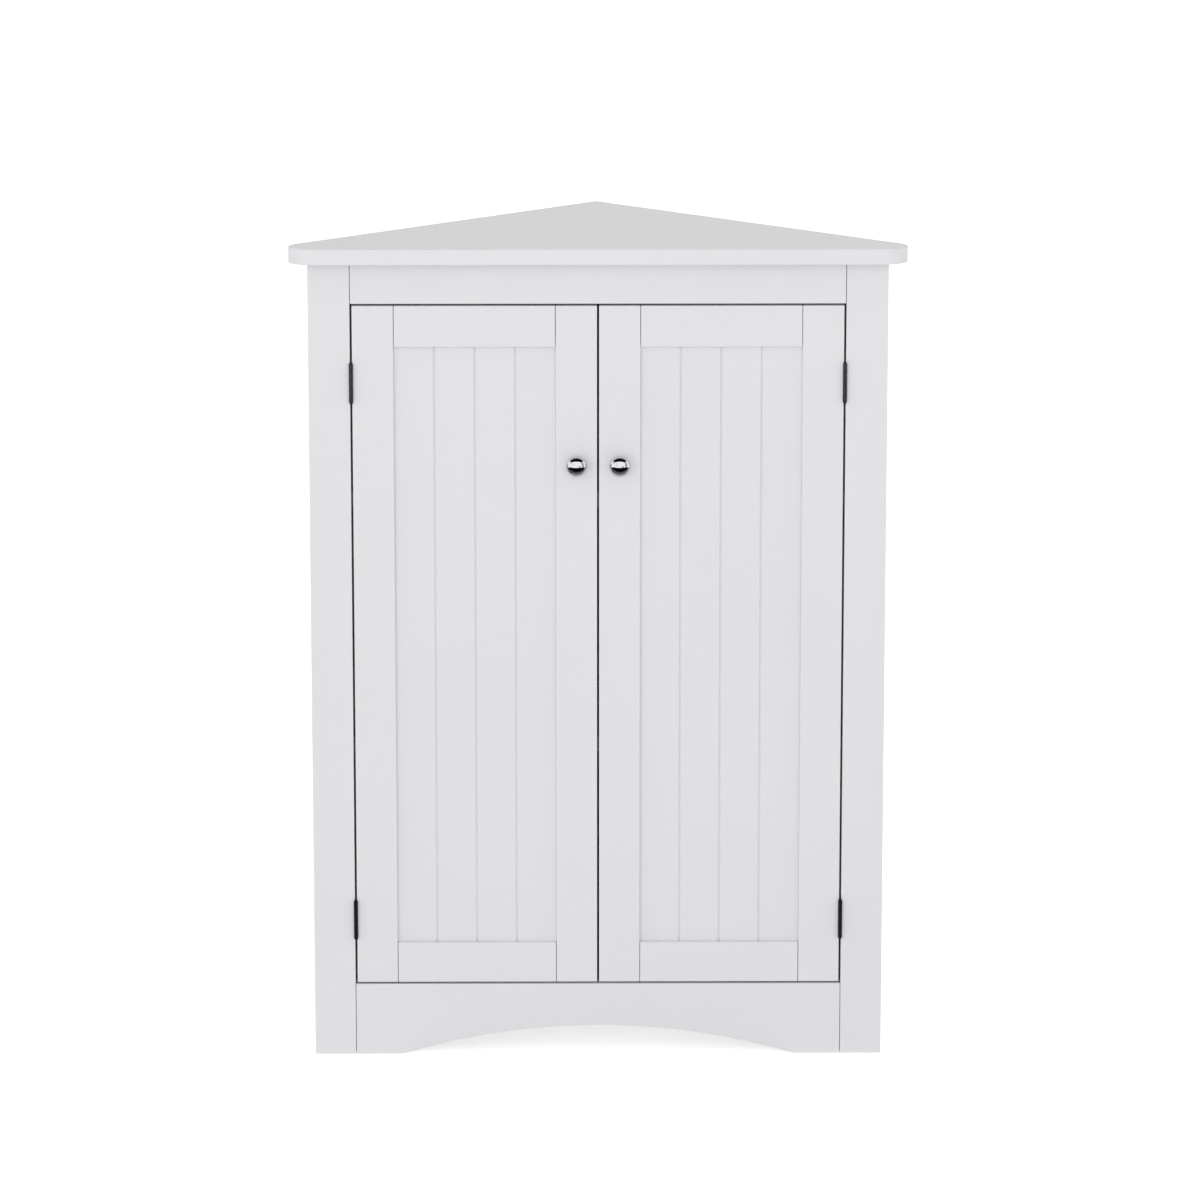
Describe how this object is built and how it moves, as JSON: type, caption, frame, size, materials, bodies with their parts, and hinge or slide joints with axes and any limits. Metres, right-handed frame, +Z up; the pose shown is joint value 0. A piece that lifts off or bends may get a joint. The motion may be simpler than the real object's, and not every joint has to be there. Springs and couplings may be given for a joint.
{
  "type": "corner cupboard",
  "caption": "Triangular corner floor cupboard with an overhanging top, two beadboard doors on butt hinges, an arched bottom rail and adjustable shelves.",
  "frame": {"origin": "on the ground, under the middle of the box that holds the cupboard", "axes": "+X to the right of a person who faces the doors, +Y back into the room's corner, +Z up"},
  "size_m": [0.5896, 0.3282, 0.8],
  "materials": {
    "white_lacquer": "satin white lacquer on board",
    "chrome": "polished chrome plating",
    "black_steel": "blackened steel, slightly glossy",
    "zinc_steel": "zinc-plated steel",
    "white_plastic": "moulded white plastic"
  },
  "bodies": {
    "carcass": {"bottom_rail": "white_lacquer", "floor_panel": "white_lacquer", "left_back_cam": "zinc_steel", "left_back_cam_bolt": "zinc_steel", "left_catch": "white_plastic", "left_frame_stile": "white_lacquer", "left_front_cam": "zinc_steel", "left_front_cam_bolt": "zinc_steel", "left_lower_hinge_frame_leaf": "black_steel", "left_lower_hinge_pin": "black_steel", "left_side_panel": "white_lacquer", "left_upper_hinge_frame_leaf": "black_steel", "left_upper_hinge_pin": "black_steel", "lower_shelf": "white_lacquer", "lower_shelf_left_back_support": "zinc_steel", "lower_shelf_left_front_support": "zinc_steel", "lower_shelf_right_back_support": "zinc_steel", "lower_shelf_right_front_support": "zinc_steel", "right_back_cam": "zinc_steel", "right_back_cam_bolt": "zinc_steel", "right_catch": "white_plastic", "right_frame_stile": "white_lacquer", "right_front_cam": "zinc_steel", "right_front_cam_bolt": "zinc_steel", "right_lower_hinge_frame_leaf": "black_steel", "right_lower_hinge_pin": "black_steel", "right_side_panel": "white_lacquer", "right_upper_hinge_frame_leaf": "black_steel", "right_upper_hinge_pin": "black_steel", "top_panel": "white_lacquer", "top_rail": "white_lacquer", "upper_shelf": "white_lacquer", "upper_shelf_left_back_support": "zinc_steel", "upper_shelf_left_front_support": "zinc_steel", "upper_shelf_right_back_support": "zinc_steel", "upper_shelf_right_front_support": "zinc_steel"},
    "left_door": {"left_catch_strike": "zinc_steel", "left_door_bottom_rail": "white_lacquer", "left_door_hinge_stile": "white_lacquer", "left_door_lock_stile": "white_lacquer", "left_door_panel": "white_lacquer", "left_door_top_rail": "white_lacquer", "left_knob": "chrome", "left_knob_screw": "zinc_steel", "left_lower_hinge_door_leaf": "black_steel", "left_upper_hinge_door_leaf": "black_steel"},
    "right_door": {"right_catch_strike": "zinc_steel", "right_door_bottom_rail": "white_lacquer", "right_door_hinge_stile": "white_lacquer", "right_door_lock_stile": "white_lacquer", "right_door_panel": "white_lacquer", "right_door_top_rail": "white_lacquer", "right_knob": "chrome", "right_knob_screw": "zinc_steel", "right_lower_hinge_door_leaf": "black_steel", "right_upper_hinge_door_leaf": "black_steel"}
  },
  "joints": [
    {"name": "left_door_swing", "type": "hinge", "parent": "carcass", "child": "left_door", "pos_m": [-0.23615, -0.14052, 0.4075], "axis": [0, 0, -1], "range_deg": [0, 135]},
    {"name": "right_door_swing", "type": "hinge", "parent": "carcass", "child": "right_door", "pos_m": [0.23615, -0.14052, 0.4075], "axis": [0, 0, 1], "range_deg": [0, 135]}
  ]
}
